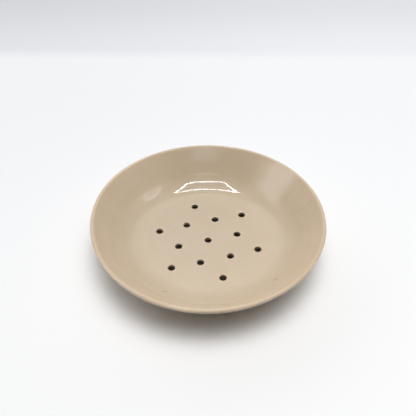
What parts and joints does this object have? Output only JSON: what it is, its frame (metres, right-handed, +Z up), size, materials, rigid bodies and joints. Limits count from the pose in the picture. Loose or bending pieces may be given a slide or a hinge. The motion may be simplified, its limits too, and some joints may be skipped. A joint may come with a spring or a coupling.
{
  "type": "berry dish",
  "caption": "Round coupe dish in glazed stoneware with a rounded lip, a flat floor pierced for draining and a foot ring, for rinsing and serving berries.",
  "frame": {"origin": "centre of the foot ring's resting face, on the dish's axis", "axes": "+Z up along the dish's axis; +X to the right and +Y to the back as the dish lies in its reference view"},
  "size_m": [0.19, 0.19, 0.039],
  "materials": {
    "bare_clay": "unglazed fired stoneware, matt and slightly gritty",
    "glaze": "glossy warm taupe glaze, slightly thinner and warmer at the lip"
  },
  "bodies": {
    "root": {"clay_body": "bare_clay", "glaze_coat": "glaze"}
  },
  "joints": []
}
